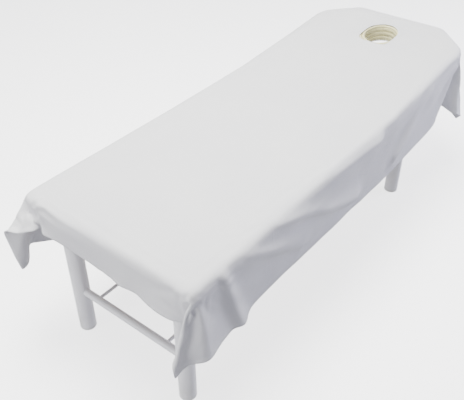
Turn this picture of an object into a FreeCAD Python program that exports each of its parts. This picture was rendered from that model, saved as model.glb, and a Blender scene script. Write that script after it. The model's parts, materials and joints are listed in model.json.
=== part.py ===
"""Massage bed: welded steel frame on four round legs, fixed seat pad, tilting back pad with a lined
face opening, a notched prop that holds the back, and a draped sheet.

Units are millimetres. X runs from the foot end to the head end, Y across the bed, Z up from the floor.
Lengths along X are written from the foot end of the pads. put() moves every shape so that the origin
is on the floor, midway along the draped bed. The back section is drawn flat and then tilted to rest.
"""

import FreeCAD
import Part
import math
import os

V = FreeCAD.Vector

# ---- driving dimensions of the whole bed
ORIGIN_X = 918.35         # from the foot end of the pads to the middle of the draped bed
BED_WIDTH = 700.0
SEAT_LENGTH = 1150.0      # foot end to the hinge axis
BACK_LENGTH = 735.0       # hinge axis to the head end
PAD_TOP = 598.5
PAD_THICKNESS = 70.0
COVER = 1.2               # upholstery skin
BOARD = 12.0              # plywood under the foam
REST_TILT = 5.0           # degrees that the back is raised at rest
TOP_TILT = 45.0           # degrees above flat at the highest notch
PAD_EDGE = 18.0           # rounding of the pads' top edges
PAD_CORNER = 25.0         # rounding of the foot corners in plan
HINGE_GAP = 1.5           # from the hinge axis to the underside of each pad
HEAD_SLANT_X = 130.0      # the head's slanted corners start this far from the end
HEAD_SLANT_Y = 205.0      # and leave the end straight this far each side
HEAD_SIDE_R = 90.0
HEAD_END_R = 45.0
FAR = 2000.0              # beyond every part

# ---- frame
FRAME_TOP = PAD_TOP - PAD_THICKNESS
SCREW_Y = 200.0           # board screws, each side of the middle
BACK_SCREW_Y = 190.0
HEAD_SCREW_Y = 100.0
SCREW_R = 2.0
SCREW_HEAD = 2.5
SCREW_HEAD_R = 5.0
SCREW_SHORT = 3.0         # the screws end this far below the board's top
RAIL_H = 38.0
RAIL_W = 25.0
WALL = 1.5
RAIL_OUT = 325.0          # outer face of the side rails
RAIL_IN = RAIL_OUT - RAIL_W
SIDE_START = 25.0
SIDE_END = 1560.0
LOW_TOP = FRAME_TOP - RAIL_H
LOW_BOTTOM = LOW_TOP - RAIL_H
LEG_RAIL_W = 40.0
SEAT_RAIL_FRONT = 390.0
SEAT_RAIL_MIDDLE = 755.0
HINGE_RAIL = 1085.0
RACK_RAIL = (1298.0, 1322.0)
PLUG_CAP = 2.0
PLUG_NECK = 12.0
PLUG_SLACK = 0.2
BUMPER = (24.0, 20.0, 3.5)
BUMPER_Y = 276.0

# ---- legs and lower frame
LEG_R = 30.0
LEG_WALL = 2.0
LEG_FOOT_X = 71.0
LEG_HEAD_X = 1510.0
LEG_Y = 243.0
PLATE = 4.0
CAP = 14.0
BOLT_R = 4.0
HOLE_R = 4.2
BOLT_Y = 39.0             # leg bolts, each side of the leg's axis
BOLT_HEAD = 5.3
BOLT_ACROSS = 13.0
BOLT_UP = 12.0            # how far a bolt stands into the rail
NUT = (16.0, 6.0)         # side and thickness
LEG_PLATE = (60.0, 96.0)
LEG_PLATE_R = 8.0
CAP_NECK = 20.0
CAP_R = 5.0
STRETCHER_R = 14.0
STRETCHER_Z = 189.0
ROD_R = 6.0
ROD_Y = 157.0
ROD_IN = 6.0              # how far a rod enters a stretcher
INSERT = (4.0, 28.0)      # the threaded insert in a stretcher, from the leg's inner face
SHANK_IN = 26.0

# ---- back frame, hinge and prop
BACK_OUT = 289.0
BACK_RAIL_H = 34.0
BACK_BOTTOM = FRAME_TOP - BACK_RAIL_H
BACK_SIDE_START = 1172.0
BACK_SIDE_END = 1745.0
BACK_MIDDLE_X = 1550.0
BACK_HEAD_X = 1822.0
BACK_HEAD_HALF = 200.0
DIAGONAL_IN = 10.0        # the diagonals meet the head rail this far from its ends
HINGE_Z = FRAME_TOP
PIN_R = 5.0
EAR = 5.0
KNUCKLE_R = 13.0
BRACKET_X = (1115.0, 1165.0)
EAR_X = 1215.0
PROP_RAIL_X = 1304.0
PROP_ARM = 215.0          # prop length, and the same from the hinge axis to the prop's pivot
PROP_DROP = 17.0          # the prop's pivot below the hinge axis with the back flat
RACK_SLOPE = 20.0         # degrees that the notched slot falls away from the hinge
PROP_Y = 172.0            # inner face of a prop arm
PROP_T = 6.0
PROP_PIN_R = 4.0
FOOT_BAR_R = 6.0
RACK_Y = 183.0
RACK_T = 5.0
SLOT_R = 6.75
NOTCHES = (0, 5, 11, 18, 27, 36, 45)    # degrees of tilt
NOTCH_DEPTH = 7.0
RACK_X = (1322.0, 1478.0, 1562.0)
RACK_Z = (352.0, 360.0, 484.0)
ARM_R = 9.0
BRACE_R = 5.0
FOOT_BAR_Y = 192.0
LUG_T = 6.0
LUG_GAP = 2.0             # between a lug and the prop arm beside it
LUG_R = 11.0

# ---- face opening
FACE_X = 1690.0
FACE_IN_X = 78.0          # half axes of the clear opening
FACE_IN_Y = 65.0
FACE_RING = 14.0          # thickness of the ring cushion with its cover
SHEET_HOLE = 6.0          # the sheet's opening is this much larger all round
RING_SLACK = 0.3
TRIM_OUT = 28.0           # how far the trim reaches beyond the clear opening
TRIM_T = 3.0
TRIM_SCREW = 21.0
TRIM_SCREW_IN = 9.0

# ---- sheet
CLOTH = 1.5
CLOTH_GAP = 0.5
SIDE_DROP = 265.0
FOOT_DROP = 120.0
HEAD_DROP = 130.0
CORNER_DROP = 365.0       # at the head's corners, with the back at rest
FLARE = 9.0               # degrees that the skirts lean out
EAR_OUT = 50.0            # the side skirts pass the foot end by this much
SKIRT_GAP = 2.0           # between the pads' sides and the cloth
FOOT_GAP = 4.0
HEAD_GAP = 3.0
SIDE_END_BACK = 185.0     # the side skirts stop this far before the head end
CORNER_WIDTH = 165.0
CORNER_TURN = 48.0        # degrees
CORNER_AT = (112.0, 16.0) # where a corner panel starts, from the head end and from the pads' side

BASE = {}
BACK = {}
PROP = {}
BACK_SCREWS = []


# ---- small helpers
def box(x0, x1, y0, y1, z0, z1):
    return Part.makeBox(x1 - x0, y1 - y0, z1 - z0, V(x0, y0, z0))


def tube_along_x(x0, x1, y0, y1, z0, z1):
    """A rectangular tube with open ends."""
    return box(x0, x1, y0, y1, z0, z1).cut(
        box(x0 - 1, x1 + 1, y0 + WALL, y1 - WALL, z0 + WALL, z1 - WALL))


def tube_along_y(x0, x1, y0, y1, z0, z1):
    return box(x0, x1, y0, y1, z0, z1).cut(
        box(x0 + WALL, x1 - WALL, y0 - 1, y1 + 1, z0 + WALL, z1 - WALL))


def rod_y(x, z, y0, y1, r):
    return Part.makeCylinder(r, y1 - y0, V(x, y0, z), V(0, 1, 0))


def rod_x(y, z, x0, x1, r):
    return Part.makeCylinder(r, x1 - x0, V(x0, y, z), V(1, 0, 0))


def rod_z(x, y, z0, z1, r):
    return Part.makeCylinder(r, z1 - z0, V(x, y, z0), V(0, 0, 1))


def plate_xz(points, y0, y1):
    """A flat plate standing in the XZ plane, from a list of (x, z) corners."""
    wire = Part.makePolygon([V(x, y0, z) for x, z in points] + [V(points[0][0], y0, points[0][1])])
    return Part.Face(wire).extrude(V(0, y1 - y0, 0))


def round_head(x, z, face, out, radius, height):
    """A bolt head that stands out of a face across Y, with a rounded rim."""
    head = rod_y(x, z, *sorted((face, face + out * height)), radius)
    rim = [e for e in head.Edges
           if abs(e.BoundBox.YLength) < .01 and abs(e.BoundBox.YMin - face) > height / 2]
    return head.makeFillet(height * .45, rim)


def hexagon(x, y, z0, z1, across):
    r = across / math.sqrt(3)
    turns = [math.radians(60 * k) for k in range(7)]
    wire = Part.makePolygon([V(x + r * math.cos(t), y + r * math.sin(t), z0) for t in turns])
    return Part.Face(wire).extrude(V(0, 0, z1 - z0))


def rounded_outline(corners, z):
    """A closed wire through (x, y, radius) corners, each rounded by a tangent arc."""
    n = len(corners)
    cuts = []
    for i, (x, y, r) in enumerate(corners):
        here = V(x, y, z)
        back = V(corners[i - 1][0], corners[i - 1][1], z) - here
        ahead = V(corners[(i + 1) % n][0], corners[(i + 1) % n][1], z) - here
        half = back.getAngle(ahead) / 2
        back.normalize()
        ahead.normalize()
        reach = r / math.tan(half)
        middle = (back + ahead).normalize() * (r / math.sin(half) - r)
        cuts.append((here + back * reach, here + middle, here + ahead * reach, r))
    edges = []
    for i, (start, mid, end, r) in enumerate(cuts):
        if r > 0:
            edges.append(Part.Arc(start, mid, end).toShape())
        edges.append(Part.LineSegment(end, cuts[(i + 1) % n][0]).toShape())
    return Part.Wire(edges)


def ellipse_prism(a, b, z0, z1):
    """An elliptical prism round the face opening's axis."""
    edge = Part.Ellipse(V(FACE_X, 0, z0), a, b).toShape()
    return Part.Face(Part.Wire(edge)).extrude(V(0, 0, z1 - z0))


def top_edges(shape, z):
    return [e for e in shape.Edges if all(abs(v.Point.z - z) < 0.01 for v in e.Vertexes)]


def sides(build):
    """The left (+Y) and right (-Y) versions of a shape that build makes for the left."""
    left = build()
    return {"left": left, "right": left.mirror(V(0, 0, 0), V(0, 1, 0))}


def both(name, build, body):
    for side, shape in sides(build).items():
        body[f"{name}_{side}"] = shape


# ---- base frame
def base_frame():
    both("side_rail", lambda: tube_along_x(SIDE_START, SIDE_END, RAIL_IN, RAIL_OUT, LOW_TOP, FRAME_TOP),
         BASE)
    cross = {"foot_end_rail": SIDE_START, "seat_cross_rail_front": SEAT_RAIL_FRONT,
             "seat_cross_rail_middle": SEAT_RAIL_MIDDLE, "hinge_cross_rail": HINGE_RAIL}
    for name, x in cross.items():
        BASE[name] = tube_along_y(x, x + RAIL_W, -RAIL_IN, RAIL_IN, LOW_TOP, FRAME_TOP)
    for end, x in (("foot", LEG_FOOT_X), ("head", LEG_HEAD_X)):
        rail = tube_along_y(x - LEG_RAIL_W / 2, x + LEG_RAIL_W / 2, -RAIL_OUT, RAIL_OUT,
                            LOW_BOTTOM, LOW_TOP)
        for y in leg_bolt_places():
            rail = rail.cut(rod_z(x, y, LOW_BOTTOM - 1, LOW_BOTTOM + WALL + 1, HOLE_R))
        BASE[f"{end}_leg_rail"] = rail
    BASE["rack_cross_rail"] = tube_along_y(*RACK_RAIL, -RAIL_OUT, RAIL_OUT, LOW_BOTTOM, LOW_TOP)
    BASE["rail_end_plugs"] = Part.makeCompound(
        [rail_plug(x, inward, side) for x, inward in ((SIDE_START, 1), (SIDE_END, -1)) for side in (-1, 1)])
    length, width, height = BUMPER
    bumpers = [box(LEG_HEAD_X - length / 2, LEG_HEAD_X + length / 2, side * BUMPER_Y - width / 2,
                   side * BUMPER_Y + width / 2, LOW_TOP, LOW_TOP + height) for side in (-1, 1)]
    BASE["rest_bumpers"] = Part.makeCompound(bumpers)


def rail_plug(x, inward, side):
    y0, y1 = sorted((side * RAIL_IN, side * RAIL_OUT))
    inset = WALL + PLUG_SLACK
    cap = box(*sorted((x, x - PLUG_CAP * inward)), y0, y1, LOW_TOP, FRAME_TOP)
    neck = box(*sorted((x, x + PLUG_NECK * inward)), y0 + inset, y1 - inset,
               LOW_TOP + inset, FRAME_TOP - inset)
    return cap.fuse(neck)


def leg_bolt_places():
    return [side * LEG_Y + step for side in (-1, 1) for step in (-BOLT_Y, BOLT_Y)]


# ---- legs, feet and the lower frame
def leg(x, y):
    """A round leg welded under its bolting plate."""
    top = LOW_BOTTOM - PLATE
    tube = rod_z(x, y, CAP, top, LEG_R).cut(rod_z(x, y, CAP - 1, top + 1, LEG_R - LEG_WALL))
    tube = tube.cut(rod_y(x, STRETCHER_Z, y - LEG_R - 1, y + LEG_R + 1, HOLE_R))
    half_x, half_y = LEG_PLATE[0] / 2, LEG_PLATE[1] / 2
    plate = box(x - half_x, x + half_x, y - half_y, y + half_y, top, LOW_BOTTOM)
    plate = plate.makeFillet(LEG_PLATE_R, [e for e in plate.Edges if abs(e.Length - PLATE) < 0.01])
    for step in (-BOLT_Y, BOLT_Y):
        plate = plate.cut(rod_z(x, y + step, top - 1, LOW_BOTTOM + 1, HOLE_R))
    return tube.fuse(plate)


def foot_cap(x, y):
    rim = rod_z(x, y, 0, CAP, LEG_R)
    rim = rim.makeFillet(CAP_R, [e for e in rim.Edges if abs(e.BoundBox.ZMax) < 0.01])
    return rim.fuse(rod_z(x, y, CAP, CAP + CAP_NECK, LEG_R - LEG_WALL - PLUG_SLACK))


def leg_bolt(x, y):
    """A bolt up through a leg's plate, and the square nut that it turns into inside the rail."""
    head = LOW_BOTTOM - PLATE
    inside = LOW_BOTTOM + WALL
    side, thick = NUT
    bolt = hexagon(x, y, head - BOLT_HEAD, head, BOLT_ACROSS)
    bolt = bolt.fuse(rod_z(x, y, head, LOW_BOTTOM + BOLT_UP, BOLT_R))
    nut = box(x - side / 2, x + side / 2, y - side / 2, y + side / 2, inside, inside + thick)
    return [bolt, nut.cut(rod_z(x, y, inside - 1, inside + thick + 1, HOLE_R))]


def legs():
    fixings = []
    for end, x in (("foot", LEG_FOOT_X), ("head", LEG_HEAD_X)):
        for side, y in (("left", LEG_Y), ("right", -LEG_Y)):
            BASE[f"leg_{end}_{side}"] = leg(x, y)
            BASE[f"foot_cap_{end}_{side}"] = foot_cap(x, y)
        for y in leg_bolt_places():
            fixings += leg_bolt(x, y)
    BASE["leg_fixings"] = Part.makeCompound(fixings)


def lower_frame():
    reach = LEG_Y - 10
    fixings = []
    for end, x, inward in (("foot", LEG_FOOT_X, 1), ("head", LEG_HEAD_X, -1)):
        tube = rod_y(x, STRETCHER_Z, -reach, reach, STRETCHER_R)
        tube = tube.cut(rod_y(x, STRETCHER_Z, -reach - 1, reach + 1, STRETCHER_R - WALL))
        for side in (-1, 1):
            tube = tube.cut(rod_z(x, side * LEG_Y, 0, LOW_BOTTOM, LEG_R + .05))
            wall_x = x + inward * (STRETCHER_R - 3)
            tube = tube.cut(rod_x(side * ROD_Y, STRETCHER_Z, min(wall_x, wall_x + 20 * inward),
                                  max(wall_x, wall_x + 20 * inward), ROD_R + .1))
            outer, inner = (side * (LEG_Y - LEG_R - depth) for depth in INSERT)
            insert = rod_y(x, STRETCHER_Z, min(inner, outer), max(inner, outer), STRETCHER_R - WALL - .1)
            fixings.append(insert.cut(rod_y(x, STRETCHER_Z, -LEG_Y, LEG_Y, HOLE_R)))
            face = side * (LEG_Y + LEG_R)
            tip = side * (LEG_Y - LEG_R - SHANK_IN)
            shank = rod_y(x, STRETCHER_Z, min(face, tip), max(face, tip), BOLT_R)
            fixings.append(shank.fuse(round_head(x, STRETCHER_Z, face, side, 7, 4)))
        BASE[f"{end}_stretcher"] = tube
    BASE["stretcher_fixings"] = Part.makeCompound(fixings)
    x0 = LEG_FOOT_X + STRETCHER_R - ROD_IN
    x1 = LEG_HEAD_X - STRETCHER_R + ROD_IN
    both("long_rod", lambda: rod_x(ROD_Y, STRETCHER_Z, x0, x1, ROD_R), BASE)


# ---- pads
def beyond_bevel(toward_head):
    """The room that a pad may fill: its hinge end leans back by half of the highest tilt."""
    way = 1 if toward_head else -1
    x = SEAT_LENGTH + way * HINGE_GAP
    room = box(*sorted((x, x + way * FAR)), -FAR, FAR, FRAME_TOP - FAR, FRAME_TOP + FAR)
    room.rotate(V(x, 0, FRAME_TOP), V(0, 1, 0), way * TOP_TILT / 2)
    return room


def hinge_room():
    """Clearance that both pads leave round the hinge knuckles."""
    inner, outer = BACK_OUT - 7, RAIL_IN + 3
    return [rod_y(SEAT_LENGTH, HINGE_Z, *sorted((s * inner, s * outer)), KNUCKLE_R + 2) for s in (-1, 1)]


def pad_block(corners, toward_head, inset):
    """A pad's outer block, or with an inset what its cover wraps."""
    top = PAD_TOP - inset
    outline = rounded_outline(corners, FRAME_TOP)
    if inset:
        outline = outline.makeOffset2D(-inset)
    block = Part.Face(outline).extrude(V(0, 0, top - FRAME_TOP)).common(beyond_bevel(toward_head))
    block = block.makeFillet(PAD_EDGE - inset, top_edges(block, top))
    for room in hinge_room():
        block = block.cut(room)
    return block


def pad_pieces(corners, toward_head):
    """A pad's plywood board, its foam and the cover round both."""
    outer = pad_block(corners, toward_head, 0)
    inner = pad_block(corners, toward_head, COVER)
    slab = box(-FAR, 2 * FAR, -FAR, FAR, FRAME_TOP - 1, FRAME_TOP + BOARD)
    return inner.common(slab), inner.cut(slab), outer.cut(inner)


def seat():
    half = BED_WIDTH / 2
    end = SEAT_LENGTH + PAD_THICKNESS
    corners = [(0, -half, PAD_CORNER), (end, -half, 0), (end, half, 0), (0, half, PAD_CORNER)]
    board, foam, cover = pad_pieces(corners, False)
    BASE["seat_board"], BASE["seat_foam"], BASE["seat_cover"] = board, foam, cover
    rails = (SIDE_START, SEAT_RAIL_FRONT, SEAT_RAIL_MIDDLE, HINGE_RAIL)
    screws, holes = board_screws([(x + RAIL_W / 2, s * SCREW_Y) for x in rails for s in (-1, 1)], LOW_TOP)
    BASE["seat_board_screws"] = Part.makeCompound(screws)
    for name in ("foot_end_rail", "seat_cross_rail_front", "seat_cross_rail_middle", "hinge_cross_rail",
                 "seat_board"):
        BASE[name] = BASE[name].cut(holes)


def board_screws(places, bottom):
    """Screws up through the rails into a board, and the holes that they need."""
    screws, holes = [], []
    for x, y in places:
        head = rod_z(x, y, bottom - SCREW_HEAD, bottom, SCREW_HEAD_R)
        screws.append(head.fuse(rod_z(x, y, bottom, FRAME_TOP + BOARD - SCREW_SHORT, SCREW_R)))
        holes.append(rod_z(x, y, bottom - 1, FRAME_TOP + BOARD - SCREW_SHORT + .5, SCREW_R + .1))
    return screws, Part.makeCompound(holes)


def back_pad():
    half = BED_WIDTH / 2
    end = SEAT_LENGTH + BACK_LENGTH
    start = SEAT_LENGTH - PAD_THICKNESS
    slant = end - HEAD_SLANT_X
    corners = [(start, -half, 0), (slant, -half, HEAD_SIDE_R), (end, -HEAD_SLANT_Y, HEAD_END_R),
               (end, HEAD_SLANT_Y, HEAD_END_R), (slant, half, HEAD_SIDE_R), (start, half, 0)]
    board, foam, cover = pad_pieces(corners, True)
    room = FACE_RING + RING_SLACK
    hole = ellipse_prism(FACE_IN_X + room, FACE_IN_Y + room, 0, FAR)
    BACK["back_board"] = board.cut(hole)
    BACK["back_foam"] = foam.cut(hole)
    BACK["back_cover"] = cover.cut(hole)


def face_opening():
    """The ring cushion that lines the face opening, its cover and the trim ring under the board."""
    a, b, top = FACE_IN_X, FACE_IN_Y, PAD_TOP - .5
    bore = ellipse_prism(a, b, 0, FAR)
    core = ellipse_prism(a + FACE_RING, b + FACE_RING, FRAME_TOP, top - COVER)
    core = core.cut(ellipse_prism(a + COVER, b + COVER, 0, FAR))
    skin = ellipse_prism(a + FACE_RING, b + FACE_RING, top - COVER, top)
    skin = skin.fuse(ellipse_prism(a + COVER, b + COVER, FRAME_TOP, top)).cut(bore)
    BACK["face_cradle_cushion"] = core
    BACK["face_cradle_cover"] = skin
    under = FRAME_TOP - TRIM_T
    trim = ellipse_prism(a + TRIM_OUT, b + TRIM_OUT, under, FRAME_TOP).cut(bore)
    for turn in (math.radians(45 + 90 * k) for k in range(4)):
        x, y = FACE_X + (a + TRIM_SCREW) * math.cos(turn), (b + TRIM_SCREW) * math.sin(turn)
        head = rod_z(x, y, under - 2, under, 3.5)
        BACK_SCREWS.append(head.fuse(rod_z(x, y, under, FRAME_TOP + TRIM_SCREW_IN, 1.6)))
        hole = rod_z(x, y, under - 1, FRAME_TOP + TRIM_SCREW_IN + .5, 1.7)
        trim = trim.cut(hole)
        BACK["back_board"] = BACK["back_board"].cut(hole)
    BACK["face_hole_trim"] = trim


# ---- back frame
def back_frame():
    inner = BACK_OUT - RAIL_W
    rails = {"back_hinge_rail": BACK_SIDE_START, "back_prop_rail": PROP_RAIL_X,
             "back_middle_rail": BACK_MIDDLE_X}
    both("back_side_rail", lambda: tube_along_x(BACK_SIDE_START, BACK_SIDE_END, inner, BACK_OUT,
                                                BACK_BOTTOM, FRAME_TOP), BACK)
    for name, x in rails.items():
        BACK[name] = tube_along_y(x, x + RAIL_W, -inner, inner, BACK_BOTTOM, FRAME_TOP)
    middle = BACK_OUT - RAIL_W / 2
    slant = math.atan2(BACK_HEAD_HALF - DIAGONAL_IN - middle, BACK_HEAD_X - BACK_SIDE_END)
    BACK["back_head_rail"] = tube_along_y(BACK_HEAD_X, BACK_HEAD_X + RAIL_W, -BACK_HEAD_HALF,
                                          BACK_HEAD_HALF, BACK_BOTTOM, FRAME_TOP)

    def diagonal():
        tube = tube_along_x(-2 * RAIL_W, BACK_HEAD_HALF, -RAIL_W / 2, RAIL_W / 2, BACK_BOTTOM, FRAME_TOP)
        tube.rotate(V(0, 0, 0), V(0, 0, 1), math.degrees(slant))
        tube.translate(V(BACK_SIDE_END, middle, 0))
        return tube.common(box(BACK_SIDE_END, BACK_HEAD_X, 0, FAR, 0, FAR))

    both("back_diagonal", diagonal, BACK)
    places = [(x + RAIL_W / 2, s * BACK_SCREW_Y) for x in rails.values() for s in (-1, 1)]
    places += [(BACK_HEAD_X + RAIL_W / 2, s * HEAD_SCREW_Y) for s in (-1, 1)]
    screws, holes = board_screws(places, BACK_BOTTOM)
    BACK_SCREWS.extend(screws)
    for name in ("back_hinge_rail", "back_prop_rail", "back_middle_rail", "back_head_rail", "back_board"):
        BACK[name] = BACK[name].cut(holes)


# ---- hinge
def hinge():
    def bracket():
        x0, x1 = BRACKET_X
        foot = plate_xz([(x0, LOW_TOP), (x1, LOW_TOP), (x1, HINGE_Z - 6),
                         (SEAT_LENGTH + KNUCKLE_R, HINGE_Z), (SEAT_LENGTH - KNUCKLE_R, HINGE_Z),
                         (x0, HINGE_Z - 12)], RAIL_IN - EAR, RAIL_IN)
        knuckle = rod_y(SEAT_LENGTH, HINGE_Z, RAIL_IN - EAR, RAIL_IN, KNUCKLE_R)
        return foot.fuse(knuckle).cut(rod_y(SEAT_LENGTH, HINGE_Z, RAIL_IN - 10, RAIL_IN + 5, PIN_R + .05))

    def ear():
        arm = plate_xz([(SEAT_LENGTH - 4, HINGE_Z - 11), (EAR_X, BACK_BOTTOM + 4), (EAR_X, FRAME_TOP - 4),
                        (SEAT_LENGTH + 4, HINGE_Z)], BACK_OUT, BACK_OUT + EAR)
        knuckle = rod_y(SEAT_LENGTH, HINGE_Z, BACK_OUT, BACK_OUT + EAR, KNUCKLE_R)
        return arm.fuse(knuckle).cut(rod_y(SEAT_LENGTH, HINGE_Z, BACK_OUT - 5, BACK_OUT + 10, PIN_R + .06))

    def pin():
        shank = rod_y(SEAT_LENGTH, HINGE_Z, BACK_OUT - .2, RAIL_IN - .2, PIN_R)
        head = round_head(SEAT_LENGTH, HINGE_Z, BACK_OUT - .2, -1, 9, 5)
        washer = rod_y(SEAT_LENGTH, HINGE_Z, BACK_OUT + EAR + .1, RAIL_IN - EAR - .1, 10)
        washer = washer.cut(rod_y(SEAT_LENGTH, HINGE_Z, BACK_OUT, RAIL_IN, PIN_R + .1))
        return Part.makeCompound([shank.fuse(head), washer])

    both("hinge_bracket", bracket, BASE)
    both("hinge_ear", ear, BACK)
    both("hinge_pin", pin, BASE)


# ---- prop and its notched plates
def prop_pivot_flat():
    return V(SEAT_LENGTH + math.sqrt(PROP_ARM ** 2 - PROP_DROP ** 2), 0, HINGE_Z - PROP_DROP)


def opening_angle(tilt):
    """Degrees at the hinge between the prop's pivot and the slot, with the back at this tilt."""
    return tilt - math.degrees(math.asin(PROP_DROP / PROP_ARM)) + RACK_SLOPE


def foot_place(tilt):
    """Where the foot bar lies on the sloping slot: an isosceles triangle of hinge, pivot and foot."""
    along = 2 * PROP_ARM * math.cos(math.radians(opening_angle(tilt)))
    slope = math.radians(RACK_SLOPE)
    return V(SEAT_LENGTH + along * math.cos(slope), 0, HINGE_Z - along * math.sin(slope))


def slot_between(a, b, r, y0, y1):
    run = (b - a)
    side = V(run.z, 0, -run.x).normalize() * r
    corners = [a + side, b + side, b - side, a - side]
    bar = plate_xz([(p.x, p.z) for p in corners], y0, y1)
    return bar.fuse([rod_y(p.x, p.z, y0, y1, r) for p in (a, b)])


def racks():
    slope = math.radians(RACK_SLOPE)
    down = V(-math.sin(slope), 0, -math.cos(slope))

    def rack():
        start, step, end = RACK_X
        bottom, corner, top = RACK_Z
        toe = end - 22
        corners = [(start, top), (step, top), (step, LOW_BOTTOM), (end, LOW_BOTTOM), (end, corner),
                   (toe, bottom), (start, bottom + (toe - start) * math.tan(slope))]
        plate = plate_xz(corners, RACK_Y, RACK_Y + RACK_T)
        through = (RACK_Y - 1, RACK_Y + RACK_T + 1)
        plate = plate.cut(slot_between(foot_place(TOP_TILT + .4), foot_place(-2), SLOT_R, *through))
        for tilt in NOTCHES:
            seat_at = foot_place(tilt)
            plate = plate.cut(slot_between(seat_at, seat_at + down * NOTCH_DEPTH, SLOT_R - .4, *through))
        return plate

    both("rack_plate", rack, BASE)


def prop():
    hinge_at = V(SEAT_LENGTH, 0, HINGE_Z)
    pivot = prop_pivot_flat()
    angle = math.radians(REST_TILT)
    arm = pivot - hinge_at
    pivot = hinge_at + V(arm.x * math.cos(angle) - arm.z * math.sin(angle), 0,
                         arm.x * math.sin(angle) + arm.z * math.cos(angle))
    foot = foot_place(REST_TILT)
    middle = (pivot + foot) * .5

    def arm():
        flat = slot_between(pivot, foot, ARM_R, PROP_Y, PROP_Y + PROP_T)
        flat = flat.cut(rod_y(pivot.x, pivot.z, PROP_Y - 1, PROP_Y + 10, PROP_PIN_R + .06))
        return flat.cut(rod_y(foot.x, foot.z, PROP_Y - 1, PROP_Y + 10, FOOT_BAR_R + .02))

    foot_bar = rod_y(foot.x, foot.z, -FOOT_BAR_Y, FOOT_BAR_Y, FOOT_BAR_R)
    brace = rod_y(middle.x, middle.z, -PROP_Y, PROP_Y, BRACE_R)
    PROP["prop_frame"] = Part.makeCompound(list(sides(arm).values()) + [foot_bar, brace])
    tips = [round_head(foot.x, foot.z, s * FOOT_BAR_Y, s, FOOT_BAR_R + 2, 4) for s in (-1, 1)]
    PROP["prop_foot_tips"] = Part.makeCompound(tips)


def prop_lugs():
    flat = prop_pivot_flat()
    outer = PROP_Y - LUG_GAP
    inner = outer - LUG_T
    end = PROP_Y + PROP_T + .5

    def lug():
        root = PROP_RAIL_X + RAIL_W
        arm = plate_xz([(root, BACK_BOTTOM + 2), (flat.x, flat.z - LUG_R), (flat.x, flat.z + LUG_R),
                        (root, FRAME_TOP - 2)], inner, outer)
        nose = rod_y(flat.x, flat.z, inner, outer, LUG_R)
        return arm.fuse(nose).cut(rod_y(flat.x, flat.z, PROP_Y - 10, PROP_Y + 10, PROP_PIN_R + .05))

    def pin():
        shank = rod_y(flat.x, flat.z, inner, end, PROP_PIN_R)
        head = round_head(flat.x, flat.z, end, 1, 7, 4)
        nut = rod_y(flat.x, flat.z, inner - 5, inner, 6.5)
        return shank.fuse([head, nut])

    both("prop_lug", lug, BACK)
    BACK["prop_pins"] = Part.makeCompound(list(sides(pin).values()))


# ---- sheet, as plain panels in the places that the cloth fills
def bend_gap():
    """Half of the gap that the sheet's panels leave over the hinge, as the pads' facing ends do."""
    return PAD_THICKNESS * math.tan(math.radians(TOP_TILT / 2)) + 6


def sheet_base():
    top = PAD_TOP + CLOTH_GAP
    half = BED_WIDTH / 2 + SKIRT_GAP
    deck = box(-FOOT_GAP, SEAT_LENGTH - bend_gap(), -half, half, top, top + CLOTH)
    solids = [deck]
    low = PAD_TOP - SIDE_DROP
    for side in (-1, 1):
        y0, y1 = sorted((side * half, side * (half + CLOTH)))
        skirt = plate_xz([(-FOOT_GAP, top + CLOTH), (SEAT_LENGTH - bend_gap(), top + CLOTH),
                          (SEAT_LENGTH - 3, HINGE_Z), (SEAT_LENGTH - 3, low), (-EAR_OUT, low),
                          (-EAR_OUT + 6, HINGE_Z)], y0, y1)
        skirt.rotate(V(0, side * half, top + CLOTH), V(1, 0, 0), side * FLARE)
        solids.append(skirt)
    foot = box(-FOOT_GAP - CLOTH, -FOOT_GAP, -BED_WIDTH / 2, BED_WIDTH / 2,
               PAD_TOP - FOOT_DROP, top + CLOTH)
    solids.append(foot)
    BASE["sheet_lower"] = Part.makeCompound(solids)


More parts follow.
